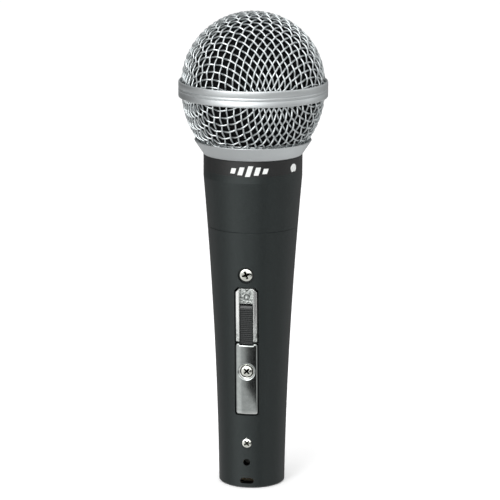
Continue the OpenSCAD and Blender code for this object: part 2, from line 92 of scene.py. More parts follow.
# Switch, in its own frame: X across, Y up along the handle's skin, Z out of it
SWITCH_Z = 62 * MM
FRAME_LOW, FRAME_HIGH = -9.4 * MM, 9.6 * MM
FRAME_BACK = -2.95 * MM
FRAME_CORNER = 1.35 * MM
SLOT_W = 4.74 * MM
FLOOR = -1.6 * MM
# The hole through the floor that the actuator's stem moves in
WINDOW = (-4 * MM, 3.9 * MM)
# Marks on the floor: the ring's height up the handle, and the lip, where a highlight is painted, and the
# arrow in the switch's frame
RING_Z, RING_R = 68.2 * MM, 0.9 * MM
LIP_HIGHLIGHT_Y, ARROW_Y, ARROW_HALF, ARROW_SLOPE = 8.65 * MM, 8.3 * MM, 0.8 * MM, 1.2
SLIDER_LOW, SLIDER_HIGH = -10.2 * MM, 3.3 * MM
SLIDER_FACE, SLIDER_BACK = -0.32 * MM, -1.45 * MM
LEDGE_L = 0.8 * MM
RIBS = 18

# Screws, in mm: height up the handle, depth of the seat, head radius and height, shank radius and length
SCREWS = {
    "lock_plate_screw": (42, 0.95, 1.98, 0.75, 1.2, 4),
    "bracket_screw": (76.3, 1.2, 2.24, 1.1, 1.25, 4.1),
    "connector_screw": (16.1, 1.2, 1.75, 1.2, 1, 6),
}


# ---------------------------------------------------------------- camera

def make_camera():
    """The photograph's view: 9 degrees to the right of the switch, looking slightly down."""
    distance, height, pitch = 0.918, 0.2859, math.radians(12.52)
    azimuth, yaw, roll = math.radians(9), math.radians(0.057), math.radians(0.2)
    data = bpy.data.cameras.new("camera")
    data.sensor_width = 36
    data.lens = 196.5
    data.clip_start, data.clip_end = 0.05, 30
    camera = bpy.data.objects.new("camera", data)
    camera.location = (distance * math.sin(azimuth), -distance * math.cos(azimuth), height)
    camera.rotation_mode = "XYZ"
    turn = Matrix.Rotation(azimuth + yaw, 3, "Z") @ Matrix.Rotation(math.pi / 2 - pitch, 3, "X")
    camera.rotation_euler = (turn @ Matrix.Rotation(roll, 3, "Z")).to_euler()
    SCENE.collection.objects.link(camera)
    SCENE.camera = camera


make_camera()


# ---------------------------------------------------------------- meshes

def add_mesh(name, verts, faces):
    mesh = bpy.data.meshes.new(name)
    mesh.from_pydata([tuple(v) for v in verts], [], [tuple(f) for f in faces])
    mesh.validate()
    for polygon in mesh.polygons:
        polygon.use_smooth = True
    obj = bpy.data.objects.new(name, mesh)
    SCENE.collection.objects.link(obj)
    return obj


def piece(obj, body, slot, material, *nodes):
    """Puts a finished piece on its body, gives it its material, and hides the nodes that it
    stands for. The slot is not used."""
    obj.data.materials.clear()
    obj.data.materials.append(material)
    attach(obj, body)
    if nodes:
        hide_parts(*nodes)


def lathe(name, profile, segments=192):
    """Turns a closed outline of (radius, height) points round Z. A point on the axis becomes one
    vertex."""
    verts, rings = [], []
    for r, z in profile:
        if r < 1e-7:
            rings.append([len(verts)] * segments)
            verts.append((0, 0, z))
        else:
            rings.append(list(range(len(verts), len(verts) + segments)))
            verts += [
                (r * math.cos(a), r * math.sin(a), z)
                for a in (2 * math.pi * k / segments for k in range(segments))
            ]
    faces = []
    for low, high in zip(rings, rings[1:] + rings[:1]):
        for k in range(segments):
            n = (k + 1) % segments
            loop = [low[k], low[n], high[n], high[k]]
            loop = [v for i, v in enumerate(loop) if v not in loop[:i]]
            if len(loop) > 2:
                faces.append(loop)
    return add_mesh(name, verts, faces)


def arc(c, z, r, a0, a1, steps):
    """Points of an arc in section, with its centre at radius c and height z, angles in degrees."""
    angles = np.radians(np.linspace(a0, a1, steps + 1))
    return [(c + r * math.cos(a), z + r * math.sin(a)) for a in angles]


def rounded(points, r=0.1 * MM, steps=3):
    """The closed outline with each corner replaced by a small round."""
    out, n = [], len(points)
    for i, (x, z) in enumerate(points):
        p = Vector((x, z))
        before, after = Vector(points[i - 1]) - p, Vector(points[(i + 1) % n]) - p
        cut = min(r, before.length * 0.45, after.length * 0.45)
        if x < 1e-7 or cut < 1e-6:
            out.append((x, z))
            continue
        a, b = p + before.normalized() * cut, p + after.normalized() * cut
        for k in range(steps + 1):
            t = k / steps
            q = a * (1 - t) ** 2 + p * 2 * t * (1 - t) + b * t * t
            out.append((q.x, q.y))
    return out


def handle_r(z):
    """The radius of the handle's skin at a height."""
    return NECK_R if z > TAPER_TOP else BASE_R + BASE_SLOPE * z + TAPER_CURVE * z * z


def on_skin(x, z, out=0.0):
    """The point straight in front of (x, z), that far out of the handle's skin."""
    return (x, -math.sqrt((handle_r(z) + out) ** 2 - x * x), z)


class Front:
    """A place on the handle's front: X across, Y up along the skin and Z out of it."""

    def __init__(self, z):
        self.z, self.r = z, handle_r(z)
        tilt = math.atan(BASE_SLOPE + 2 * TAPER_CURVE * z)
        self.sin, self.cos = math.sin(tilt), math.cos(tilt)

    def at(self, x, y, h):
        return (x, -self.r - y * self.sin - h * self.cos, self.z + y * self.cos - h * self.sin)

    def skin(self, x, y):
        """How far out the handle's skin is there."""
        r = handle_r(self.z + y * self.cos)
        return (math.sqrt(r * r - x * x) - self.r - y * self.sin) / self.cos


def spaced(low, high, step, fine, edge):
    """Positions from low to high, a step apart, and a fine step within the edge at both ends."""
    near = np.linspace(0, edge, max(int(edge / fine), 1) + 1)
    middle = np.linspace(low + edge, high - edge, max(int((high - low - 2 * edge) / step), 1) + 1)
    return np.concatenate([low + near, middle[1:-1], high - near[::-1]])


def slab(name, face, back, hole=lambda i, j: False):
    """A closed solid between two grids of points, its face and its back. Cells of the grid that are in
    the hole are left out, all the way through."""
    rows, columns = len(face), len(face[0])
    size = rows * columns
    cells = {
        (i, j) for i in range(rows - 1) for j in range(columns - 1) if not hole(i, j)
    }
    faces = []
    for i, j in sorted(cells):
        a = i * columns + j
        b = a + columns
        faces += [(a, a + 1, b + 1, b), (size + a, size + b, size + b + 1, size + a + 1)]
        for beside, p, q in (
            ((i - 1, j), a, a + 1), ((i, j + 1), a + 1, b + 1),
            ((i + 1, j), b + 1, b), ((i, j - 1), b, a),
        ):
            if beside not in cells:
                faces.append((q, p, size + p, size + q))
    points = [p for grid in (face, back) for row in grid for p in row]
    used = {v: k for k, v in enumerate(sorted({v for f in faces for v in f}))}
    obj = add_mesh(name, [points[v] for v in used], [[used[v] for v in f] for f in faces])
    obj.data.set_sharp_from_angle(angle=math.radians(35))
    return obj


def step_up(value, low, high):
    """0 below low, 1 above high, and a smooth step between."""
    t = min(max((value - low) / (high - low), 0), 1)
    return t * t * (3 - 2 * t)


def soft(value, width):
    """The value where it is positive and 0 where it isn't, with a round corner that wide."""
    return width * math.log1p(math.exp(min(value / width, 40))) if value < 40 * width else value


def round_edge(inside, r):
    """How far an edge of radius r drops, that far inside it."""
    return r - math.sqrt(max(r * r - max(r - inside, 0) ** 2, 0)) if inside < r else 0


# ---------------------------------------------------------------- woven wire

class Bowl:
    """A surface of revolution whose section is an arc of radius r, centred at radius c and height z.
    side is 1 where the pole of the weave is on top and -1 where it is underneath."""

    def __init__(self, c, z, r, side, turn):
        self.c, self.z, self.r, self.side, self.turn = c, z, r, side, math.radians(turn)

    def normal(self, p):
        flat = max(math.hypot(p[0], p[1]), 1e-9)
        k = (flat - self.c) / flat
        return np.array([p[0] * k, p[1] * k, p[2] - self.z]) / self.r

    def project(self, p):
        n = self.normal(p)
        return p - n * (1 - 1 / np.linalg.norm(n)) * self.r

    def start(self, steps, quarter):
        """The point that many pitches down from the pole, in one of the weave's four main directions."""
        pole = math.acos(-self.c / self.r)
        a = pole - steps * 2 * math.asin(PITCH / 2 / self.r)
        az = self.turn + quarter * math.pi / 2
        flat = self.c + self.r * math.cos(a)
        return np.array([
            flat * math.sin(az), -flat * math.cos(az), self.z + self.side * self.r * math.sin(a)
        ])

    def cross(self, a, b, guess):
        """The point of the surface one pitch away from both a and b, near the guess."""
        p = guess
        for _ in range(12):
            n = self.normal(p)
            gap = np.array([
                (p - a) @ (p - a) - PITCH**2, (p - b) @ (p - b) - PITCH**2,
                (np.linalg.norm(n) - 1) * self.r,
            ])
            p = p - np.linalg.solve(np.array([2 * (p - a), 2 * (p - b), n]), gap)
            if np.abs(gap).max() < 1e-12:
                break
        return p


def cloth_net(bowl, reach, keep):
    """Where the wires cross when flat square weave is pressed over the bowl: each side of each mesh
    keeps its length, so the meshes shear into diamonds between the four main directions."""
    net = {(0, 0): bowl.start(0, 0)}
    for k in range(1, reach + 1):
        for quarter, (i, j) in enumerate(((k, 0), (0, k), (-k, 0), (0, -k))):
            net[i, j] = bowl.start(k, quarter)
    for si, sj in ((1, 1), (-1, 1), (-1, -1), (1, -1)):
        for i in range(1, reach + 1):
            for j in range(1, reach + 1):
                before, a, b = (
                    net.get((si * u, sj * v)) for u, v in ((i - 1, j - 1), (i - 1, j), (i, j - 1))
                )
                if before is None or a is None or b is None:
                    continue
                if not (keep(a) or keep(b)):
                    continue
                # Both a and b are also one pitch from the corner before them, so that root is refused
                spot = bowl.cross(a, b, a + b - before)
                if np.linalg.norm(spot - before) > 0.25 * PITCH:
                    net[si * i, sj * j] = spot
    return net


def between_spots(before, p, q, after, t):
    """The point a share t of the way from p to q, on a smooth curve through all four."""
    return 0.5 * (
        2 * p + (q - before) * t + (2 * before - 5 * p + 4 * q - after) * t * t
        + (3 * p - 3 * q + after - before) * t**3
    )


def wire_paths(bowl, net, reach, keep, steps=8):
    """Each wire as lists of (centre, normal), over one crossing wire and under the next."""
    paths = []
    for family in (0, 1):
        for i in range(-reach, reach + 1):
            line = {j: net.get((j, i) if family else (i, j)) for j in range(-reach - 1, reach + 2)}
            run = []
            for j in range(-reach, reach):
                before, p, q, after = (line[j + k] for k in (-1, 0, 1, 2))
                if p is None or q is None:
                    paths.append(run)
                    run = []
                    continue
                before = 2 * p - q if before is None else before
                after = 2 * q - p if after is None else after
                for k in range(steps):
                    t = k / steps
                    at = bowl.project(between_spots(before, p, q, after, t))
                    if not keep(at):
                        paths.append(run)
                        run = []
                        continue
                    over = (-1) ** (i + j + family) * math.cos(math.pi * t)
                    normal = bowl.normal(at)
                    run.append((at + normal * WIRE_WAVE * over, normal))
            paths.append(run)
    return [path for path in paths if len(path) > 4]


def tubes(name, paths, r, sides=10):
    """Closed round tubes along the paths, with flat ends."""
    verts, faces = [], []
    for path in paths:
        at = np.array([p for p, _ in path])
        up = np.array([n for _, n in path])
        along = np.gradient(at, axis=0)
        along /= np.linalg.norm(along, axis=1)[:, None]
        side = np.cross(along, up)
        side /= np.linalg.norm(side, axis=1)[:, None]
        up = np.cross(side, along)
        angles = 2 * np.pi * np.arange(sides) / sides
        rings = at[:, None] + r * (
            side[:, None] * np.cos(angles)[None, :, None] + up[:, None] * np.sin(angles)[None, :, None]
        )
        first = len(verts)
        verts += list(rings.reshape(-1, 3))
        for k in range(len(path) - 1):
            for s in range(sides):
                a, b = first + k * sides + s, first + k * sides + (s + 1) % sides
                faces.append((b, a, a + sides, b + sides))
        last = first + (len(path) - 1) * sides
        faces.append(tuple(range(first, first + sides)))
        faces.append(tuple(range(last + sides - 1, last - 1, -1)))
    return add_mesh(name, verts, faces)


def make_weave(name, bowl, reach, keep, keep_net):
    """The wires of one bowl, where keep says so. The net goes on for as long as keep_net does."""
    net = cloth_net(bowl, reach, keep_net)
    return tubes(name, wire_paths(bowl, net, reach, keep), WIRE_R)


# ---------------------------------------------------------------- materials

def srgb(*levels):
    """A colour for the scene from levels of 0 to 255 as a screen shows them."""
    out = []
    for level in levels:
        c = level / 255
        out.append(c / 12.92 if c <= 0.04045 else ((c + 0.055) / 1.055) ** 2.4)
    return (*out, 1.0)


class Nodes:
    """A node tree, with what it takes to build one."""

    def __init__(self, tree):
        self.tree = tree

    def feed(self, socket, value):
        """Links the socket if the value is another node's output, and sets it if not."""
        if isinstance(value, bpy.types.NodeSocket):
            self.tree.links.new(value, socket)
        else:
            socket.default_value = value

    def node(self, kind, inputs, **settings):
        """A new node, with its settings and then its inputs in place."""
        made = self.tree.nodes.new("ShaderNode" + kind)
        for name, value in settings.items():
            setattr(made, name, value)
        for key, value in inputs.items():
            self.feed(made.inputs[key], value)
        return made

    def sums(self, operation, *values):
        return self.node("Math", dict(enumerate(values)), operation=operation).outputs[0]

    def length(self, a, b):
        """The length of a vector across, from its two coordinates."""
        squares = [self.sums("MULTIPLY", v, v) for v in (a, b)]
        return self.sums("SQRT", self.sums("ADD", *squares))

    def between(self, value, low, high):
        """0 where the value is at low or beyond, 1 where it is at high or beyond."""
        inputs = {"From Min": low, "From Max": high, "Value": value}
        return self.node("MapRange", inputs).outputs["Result"]

    def ramp(self, value, *stops):
        """Colours or levels at positions along a value."""
        made = self.node("ValToRGB", {"Fac": value})
        items = made.color_ramp.elements
        while len(items) < len(stops):
            items.new(0.5)
        for item, (at, colour) in zip(items, stops):
            item.position = at
            item.color = colour if isinstance(colour, tuple) else (colour, colour, colour, 1)
        return made.outputs["Color"]


class Finish(Nodes):
    """A procedural material: one Principled shader, with textures in object space for its colour,
    roughness and relief."""

    def __init__(self, name, roughness=0.5, metallic=0.0):
        self.material = bpy.data.materials.new(name)
        self.material.use_nodes = True
        super().__init__(self.material.node_tree)
        self.shader = self.tree.nodes["Principled BSDF"]
        self.set(Roughness=roughness, Metallic=metallic)
        self.place = self.node("TexCoord", {}).outputs["Object"]
        self.relief = None

    def stretched(self, x, y, z):
        return self.node("Mapping", {"Scale": (x, y, z), "Vector": self.place}).outputs["Vector"]

    def noise(self, scale, detail=3.0, roughness=0.55, place=None):
        inputs = {"Scale": scale, "Detail": detail, "Roughness": roughness}
        inputs["Vector"] = place or self.place
        return self.node("TexNoise", inputs).outputs["Fac"]

    def cells(self, scale):
        return self.node("TexVoronoi", {"Scale": scale, "Vector": self.place}).outputs["Distance"]

    def apart(self):
        return list(self.node("SeparateXYZ", {0: self.place}).outputs)

    def sunk(self):
        """How far below the handle's skin a point is."""
        x, y, z = self.apart()
        slope = self.sums("MULTIPLY_ADD", z, TAPER_CURVE, BASE_SLOPE)
        skin = self.sums("MINIMUM", self.sums("MULTIPLY_ADD", slope, z, BASE_R), NECK_R)
        return self.sums("SUBTRACT", skin, self.length(x, y))

    def mix(self, value, a, b):
        """Colour a where the value is 0 and b where it is 1."""
        return self.node("Mix", {"A": a, "B": b, "Factor": value}, data_type="RGBA").outputs["Result"]

    def colour(self, socket):
        self.feed(self.shader.inputs["Base Color"], socket)
        return self

    def rough(self, value, low, high):
        self.feed(self.shader.inputs["Roughness"], self.ramp(value, (0.3, low), (0.7, high)))
        return self

    def bump(self, height, distance, strength=1.0):
        """Adds relief on top of what there is."""
        inputs = {"Strength": strength, "Distance": distance, "Height": height}
        if self.relief is not None:
            inputs["Normal"] = self.relief
        self.relief = self.node("Bump", inputs).outputs["Normal"]
        self.feed(self.shader.inputs["Normal"], self.relief)
        return self

    def set(self, **levels):
        for socket, value in levels.items():
            self.shader.inputs[socket.replace("_", " ")].default_value = value
        return self


def varied(name, base, spread, roughness, metallic=0.0, *, grain, relief):
    """A surface with slight colour and gloss variation and a fine grain."""
    rough_spread = 0.08
    f = Finish(name, roughness, metallic)
    broad = f.noise(grain * 0.06, 4)
    fine = f.noise(grain, 5, 0.65)
    dark = tuple(c * (1 - spread) for c in base[:3]) + (1,)
    light = tuple(min(c * (1 + spread), 1) for c in base[:3]) + (1,)
    low, high = f.ramp(fine, (0.3, dark), (0.7, base)), f.ramp(fine, (0.3, base), (0.7, light))
    f.colour(f.mix(broad, low, high))
    f.rough(fine, roughness - rough_spread, roughness + rough_spread)
    return f.bump(fine, relief)


def paint_finish():
    """Dark paint with a fine texture. Just below the skin it turns black: painted shade in the pockets
    and bores.
    """
    f = Finish("handle_paint", 0.42)
    painted, pocket_shade_full = 0.1 * MM, 0.22 * MM
    fine, broad = f.noise(2600, 5, 0.65), f.noise(170, 4)
    dark, pale = srgb(9, 12, 12), srgb(20, 25, 25)
    paint = f.mix(broad, f.ramp(fine, (0.3, dark), (0.7, pale)), f.ramp(fine, (0.35, dark), (0.6, pale)))
    # Sunk below the skin, the colour goes to near black: painted shade in the pockets and bores.
    f.colour(f.mix(f.between(f.sunk(), painted, pocket_shade_full), paint, srgb(5, 5, 6)))
    f.rough(fine, 0.34, 0.43)
    f.set(Specular_IOR_Level=0.6, Specular_Tint=(0.9, 1.0, 0.99, 1.0))
    return f.bump(fine, 0.03 * MM)


def frame_finish():
    """Satin plating on the rails, and a coarse mottled floor behind them with painted shade in its ring
    and arrow and a painted highlight on the lip at its upper end."""
    f = Finish("frame_metal", 0.24, 1.0)
    rails_y, floor_y = -13.4 * MM, -12.9 * MM
    groove_shade_edge, groove_shade_full, lip_highlight_w = 0.24 * MM, 0.06 * MM, 0.2 * MM
    fine, spots = f.noise(1800, 5, 0.65), f.noise(1300, 3, 0.6)
    x, y, z = f.apart()
    deep = f.between(y, rails_y, floor_y)
    from_ring = f.sums("SUBTRACT", f.length(x, f.sums("SUBTRACT", z, RING_Z)), RING_R)
    ring = f.between(f.sums("ABSOLUTE", from_ring), groove_shade_edge, groove_shade_full)
    aside = f.sums("ABSOLUTE", x)
    above = f.sums("SUBTRACT", z, SWITCH_Z + ARROW_Y)
    from_arrow = f.sums("SUBTRACT", above, f.sums("MULTIPLY", aside, ARROW_SLOPE))
    arrow = f.sums(
        "MULTIPLY", f.between(f.sums("ABSOLUTE", from_arrow), groove_shade_edge, groove_shade_full),
        f.between(aside, ARROW_HALF, 0.9 * ARROW_HALF),
    )
    rails = f.ramp(fine, (0.3, srgb(240, 242, 240)), (0.7, srgb(252, 253, 251)))
    floor = f.ramp(spots, (0.38, srgb(120, 124, 122)), (0.6, srgb(208, 212, 209)))
    # From the lip up, the floor's colour is made light: a painted highlight.
    lip = f.between(z, SWITCH_Z + LIP_HIGHLIGHT_Y, SWITCH_Z + LIP_HIGHLIGHT_Y + lip_highlight_w)
    floor = f.mix(lip, floor, srgb(218, 221, 219))
    # The ring and the arrow are mixed to dark grey: painted shade in their grooves.
    f.colour(f.mix(deep, rails, f.mix(f.sums("MAXIMUM", ring, arrow), floor, srgb(92, 96, 94))))
    f.feed(f.shader.inputs["Roughness"], f.ramp(deep, (0.0, 0.24), (1.0, 0.5)))
    f.bump(fine, 0.01 * MM)
    return f.bump(f.sums("MULTIPLY", deep, f.noise(4200, 2)), 0.05 * MM, 0.7)


def plate_finish():
    """Polished plate with faint polishing lines along it. Its dimple has a painted highlight, and its
    bottom a painted shade.
    """
    f = Finish("polished_plate", 0.13, 1.0)
    dimple, pit_shade = (0.1 * MM, 0.3 * MM), (0.48 * MM, 0.56 * MM)
    lines = f.noise(260, 4, 0.6, f.stretched(60, 60, 1))
    face = f.ramp(f.noise(700), (0.3, srgb(166, 171, 169)), (0.7, srgb(182, 187, 185)))
    sunk = f.sunk()
    # Near white on the dimple's slope is a painted highlight; near black deeper down is painted shade.
    face = f.mix(f.between(sunk, *dimple), face, srgb(243, 245, 242))
    f.colour(f.mix(f.between(sunk, *pit_shade), face, srgb(12, 12, 12)))
    f.rough(lines, 0.09, 0.15)
    return f.bump(lines, 0.003 * MM, 0.5)


def screw_finish():
    """Nickel plating, with painted shade down in the recess and round the head."""
    f = varied("screw_metal", srgb(232, 234, 226), 0.06, 0.16, 1.0, grain=2600, relief=0.004 * MM)
    plating = f.shader.inputs["Base Color"].links[0].from_socket
    screw_shade_start, screw_shade_full = 0.62 * MM, 0.82 * MM
    # Deeper below the skin the plating is mixed to near black: painted shade in the recess and round the
    # head.
    return f.colour(f.mix(f.between(f.sunk(), screw_shade_start, screw_shade_full), plating, srgb(22, 22, 20)))


def foam_finish():
    """Open-cell foam: very dark, with painted shade in the cells' hollows and lighter rims between them.
    """
    f = Finish("foam", 0.95)
    pit_depth_and_shade = f.cells(1900)
    fine = f.noise(3400, 4, 0.7)
    # The colour darkens where the cells sink in: painted shade in the hollows.
    f.colour(f.mix(
        fine, f.ramp(pit_depth_and_shade, (0.05, srgb(4, 4, 5)), (0.6, srgb(12, 13, 14))),
        f.ramp(pit_depth_and_shade, (0.05, srgb(7, 7, 8)), (0.6, srgb(20, 22, 23))),
    ))
    return f.bump(pit_depth_and_shade, 0.25 * MM).bump(fine, 0.1 * MM).set(Specular_IOR_Level=0.1)


PAINT = paint_finish()
PRINTED = varied("printed_black", srgb(24, 25, 25), 0.15, 0.38, grain=3000, relief=0.006 * MM)
SATIN = varied("satin_metal", srgb(208, 212, 213), 0.08, 0.47, 1.0, grain=3600, relief=0.02 * MM)
WIRE = varied("wire_mesh", srgb(206, 211, 212), 0.08, 0.38, 1.0, grain=2200, relief=0.01 * MM)
PLASTIC = varied("black_plastic", srgb(22, 22, 22), 0.15, 0.45, grain=2000, relief=0.01 * MM)
SLIDER = varied("slider_plastic", srgb(16, 20, 20), 0.12, 0.3, grain=2400, relief=0.004 * MM)
SLIDER.set(Specular_IOR_Level=0.4)
BRASS = varied("contact_metal", srgb(214, 190, 140), 0.08, 0.28, 1.0, grain=2600, relief=0.004 * MM)
ZINC = varied("zinc_steel", srgb(160, 163, 165), 0.12, 0.4, 1.0, grain=1200, relief=0.006 * MM)
BOARD = varied("board", srgb(30, 92, 52), 0.2, 0.35, grain=1400, relief=0.004 * MM)
IRON = varied("lamination", srgb(84, 86, 90), 0.2, 0.5, 1.0, grain=1600, relief=0.02 * MM)
COPPER = varied("winding", srgb(176, 96, 48), 0.18, 0.35, 1.0, grain=2400, relief=0.02 * MM)
RUBBER = varied("rubber", srgb(22, 22, 24), 0.15, 0.7, grain=1500, relief=0.02 * MM)
CAPSULE = varied("capsule_shell", srgb(58, 58, 60), 0.12, 0.4, 0.6, grain=1800, relief=0.008 * MM)
MAGNET = varied("magnet_metal", srgb(110, 112, 116), 0.12, 0.35, 1.0, grain=1200, relief=0.01 * MM)
FILM = varied("film", srgb(222, 216, 182), 0.06, 0.2, grain=1200, relief=0.003 * MM)
FELT = varied("felt", srgb(66, 66, 66), 0.35, 0.95, grain=2600, relief=0.08 * MM)
PHENOLIC = varied("phenolic", srgb(122, 88, 46), 0.15, 0.45, grain=1500, relief=0.01 * MM)
LEADS = {
    name: varied(name, srgb(*rgb), 0.08, 0.4, grain=1500, relief=0.004 * MM)
    for name, rgb in (
        ("lead_red", (176, 34, 28)), ("lead_black", (24, 24, 24)),
        ("lead_yellow", (214, 180, 44)), ("lead_blue", (36, 76, 160)),
    )
}
INK = varied("white_ink", srgb(226, 228, 226), 0.06, 0.45, grain=2600, relief=0.004 * MM)
NICKEL = screw_finish()
FRAME_METAL = frame_finish()
PLATE = plate_finish()
FOAM = foam_finish()

FINISHES = {
    "handle_paint": PAINT, "printed_black": PRINTED, "satin_metal": SATIN, "wire_mesh": WIRE,
    "foam": FOAM, "polished_plate": PLATE, "frame_metal": FRAME_METAL, "slider_plastic": SLIDER,
    "screw_metal": NICKEL, "black_plastic": PLASTIC, "contact_metal": BRASS, "board": BOARD,
    "zinc_steel": ZINC, "lamination": IRON, "winding": COPPER, "rubber": RUBBER,
    "capsule_shell": CAPSULE, "magnet_metal": MAGNET, "film": FILM, "felt": FELT,
    "phenolic": PHENOLIC, **LEADS,
}


def dress_cad_nodes():
    """Every CAD node takes the finish of its slot in the record."""
    for row in frame["record"]["subparts"]:
        mesh = frame["nodes"][row["node"]].data
        mesh.materials.clear()
        mesh.materials.append(FINISHES[row["material_slot"]].material)


dress_cad_nodes()


# ---------------------------------------------------------------- grille

def make_dome_weave():
    """The woven dome. Its wires end in the band."""
    reach, turn, tuck = 17, -26, 2.2 * MM
    bowl = Bowl(0, DOME_Z, DOME_R - WEAVE_T / 2, 1, turn)
    low = BAND_TOP - tuck
    weave = make_weave(
        "dome_weave", bowl, reach, lambda p: p[2] > low, lambda p: p[2] > low - 2 * PITCH
    )
    piece(weave, "grille", "wire_mesh", WIRE.material, "grille_dome")


def make_basket_weave():
    """The woven basket, from the collar up into the band."""
    reach, turn, tuck, lift = 19, -19, 1.6 * MM, 0.15 * MM
    bowl = Bowl(ARC_C, ARC_Z, ARC_R - WEAVE_T / 2, -1, turn)
    low, high = BASKET_LOW + lift, BAND_LOW + tuck
    weave = make_weave(
        "basket_weave", bowl, reach, lambda p: low < p[2] < high, lambda p: p[2] < high + 2 * PITCH
    )
    piece(weave, "grille", "wire_mesh", WIRE.material, "grille_basket")


def make_foam():
    """The foam liner, its skin pitted and slightly uneven."""
    gap, t, uneven = 0.3 * MM, 2.6 * MM, 0.12
    out, side = DOME_R - WEAVE_T - gap, ARC_R - WEAVE_T - gap
    low = bottom("windscreen")
    start = math.degrees(math.asin((low - ARC_Z) / side))
    inner = math.degrees(math.asin((low - ARC_Z) / (side - t)))
    profile = (
        arc(ARC_C, ARC_Z, side, start, 0, 40) + arc(0, DOME_Z, out, 1, 90, 72)
        + arc(0, DOME_Z, out - t, 90, 1, 36) + arc(ARC_C, ARC_Z, side - t, 0, inner, 20)
    )
    foam = lathe("foam_windscreen", profile, 288)
    for v in foam.data.vertices:
        outward = Vector((v.co.x, v.co.y, v.co.z - DOME_Z))
        v.co -= outward.normalized() * RNG.uniform(0, uneven) * MM
    piece(foam, "windscreen", "foam", FOAM.material, "windscreen")


make_dome_weave()
make_basket_weave()
make_foam()


# ---------------------------------------------------------------- turned rings

def make_ring(name, profile, node):
    """A turned ring of the grille, with its sharp corners kept sharp."""
    ring = lathe(name, profile, 288)
    ring.data.set_sharp_from_angle(angle=math.radians(50))
    piece(ring, "grille", "satin_metal", SATIN.material, node)


def make_band():
    """The band round the grille, with its rounded lips, two turned lines and a shelf inside it."""
    out, seat, round_r = radius("grille_band"), DOME_R + 0.1 * MM, 0.45 * MM
    line_w, line_depth, lines = 0.16 * MM, 0.17 * MM, (137.9 * MM, 139 * MM)
    relief, seat_top = 0.3 * MM, 139.6 * MM
    shelf_r, shelf_low, shelf_high = 23.4 * MM, 137.8 * MM, 138.6 * MM
    profile = [(seat, BAND_LOW)] + arc(out - round_r, BAND_LOW + round_r, round_r, -90, 0, 8)
    for z in lines:
        for k in range(9):
            t = k / 4 - 1
            profile.append((out - line_depth * (1 + math.cos(math.pi * t)) / 2, z + t * line_w))
    profile += arc(out - round_r, BAND_TOP - round_r, round_r, 0, 90, 8)
    profile += rounded([
        (seat + relief, BAND_TOP - 0.2 * MM), (seat + relief, BAND_TOP - MM),
        (seat, seat_top), (seat, shelf_high), (shelf_r, shelf_high),
        (shelf_r, shelf_low), (seat, shelf_low),
    ])
    make_ring("band_ring", profile, "grille_band")


def make_collar():
    """The cone that screws onto the neck, with a thin lip round the basket."""
    floor, lip_r, bore = bottom("grille_collar"), radius("grille_collar"), 14.62 * MM
    cone_top, lip_side, lip_top = 120.6 * MM, 120.85 * MM, 121 * MM
    seat_r, well_r, step, well_floor = 17.2 * MM, 16.6 * MM, 0.9 * MM, 119.6 * MM
    foot, edge = 0.1 * MM, 0.3 * MM
    profile = rounded([
        (bore + edge, floor), (NECK_R - foot, floor), (NECK_R + foot, floor + 0.2 * MM),
        (lip_r - 0.1 * MM, cone_top), (lip_r, lip_side), (lip_r - 0.15 * MM, lip_top),
        (lip_r - 0.5 * MM, lip_top), (lip_r - 0.6 * MM, BASKET_LOW), (seat_r, BASKET_LOW),
        (seat_r, BASKET_LOW + step), (well_r, BASKET_LOW + step),
        (well_r, well_floor), (bore, well_floor), (bore, floor + edge),
    ])
    make_ring("collar_ring", profile, "grille_collar")


make_band()
make_collar()


# ---------------------------------------------------------------- lock plate

def make_plate():
    """The polished plate: a soft rim, a notch for the slider's end and a dimple round its screw."""
    half = radius("lock_plate")
    low, high = bottom("lock_plate"), top("lock_plate")
    corner, rim, drop, t = 0.8 * MM, 0.42 * MM, 0.14 * MM, 0.9 * MM
    notch_half, notch_h, notch_reach = 2.5 * MM, 0.5 * MM, 3 * MM
    dimple_r, seat_r, ring_depth, dimple_depth = 3.0 * MM, 2.3 * MM, 0.6 * MM, 0.85 * MM
    bend_z, bend_drop = 37 * MM, 0.34 * MM
    screw_z = SCREWS["lock_plate_screw"][0] * MM
    soften, edge_r, wall = 0.04 * MM, 0.12 * MM, 0.06 * MM

    def inset(z):
        """How much the round corners narrow the plate at a height."""
        short = max(corner - min(z - low, high - z), 0)
        return corner - math.sqrt(corner**2 - short**2)

    def height(x, z):
        across, along = half - inset(z) - abs(x), min(z - low, high - z)
        edge = min(across, along)
        h = -drop / rim * soft(rim - edge, soften) - round_edge(edge, edge_r)
        r = math.hypot(x, z - screw_z)
        slope = ring_depth / (dimple_r - seat_r)
        h -= slope * (soft(dimple_r - r, soften) - soft(seat_r - r, soften))
        h -= (dimple_depth - ring_depth) * step_up(seat_r - r, 0, wall)
        return h - bend_drop * (max(bend_z - z, 0) / (bend_z - low)) ** 2

    face, back = [], []
    for z in spaced(low, high, 0.14 * MM, 0.05 * MM, 0.8 * MM):
        face.append([])
        back.append([])
        for u in spaced(-half, half, 0.12 * MM, 0.05 * MM, 0.6 * MM) / half:
            x = u * (half - inset(z))
            dip = notch_h * step_up(notch_half - abs(x), -wall, wall)
            at = z - dip * step_up(z, high - notch_reach, high)
            face[-1].append(on_skin(x, at, TRIM_PROUD + height(x, z)))
            back[-1].append(on_skin(x, at, TRIM_PROUD - t - dimple_depth))
    plate = slab("lock_plate_face", face, back)
    piece(plate, "root", "polished_plate", PLATE.material, "lock_plate")


# ---------------------------------------------------------------- switch

